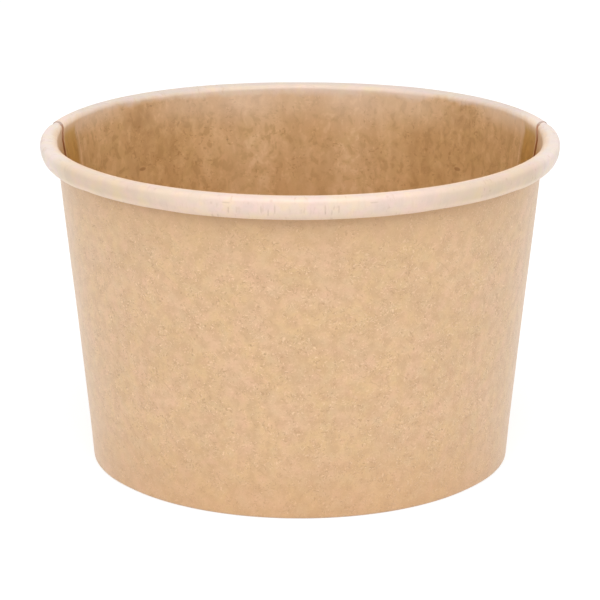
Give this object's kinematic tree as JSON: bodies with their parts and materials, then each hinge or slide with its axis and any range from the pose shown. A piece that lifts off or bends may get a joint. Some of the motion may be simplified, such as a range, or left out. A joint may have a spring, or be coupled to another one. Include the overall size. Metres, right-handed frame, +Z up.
{
  "type": "soup container",
  "caption": "Tapered round container of brown kraft board with a rolled rim, a lapped side seam and a recessed base, open at the top.",
  "frame": {"origin": "centre of the foot, on the surface that the container stands on", "axes": "+Z up along the container's axis towards the open rim; the lapped seam is near -X, about 6 degrees round towards +Y"},
  "size_m": [0.098, 0.098, 0.0624],
  "materials": {
    "wall_board": "matt brown kraft outside, with a thin semi-gloss food coating inside",
    "base_board": "brown kraft, semi-gloss on the food side"
  },
  "bodies": {
    "root": {"sidewall": "wall_board", "base": "base_board"}
  },
  "joints": []
}
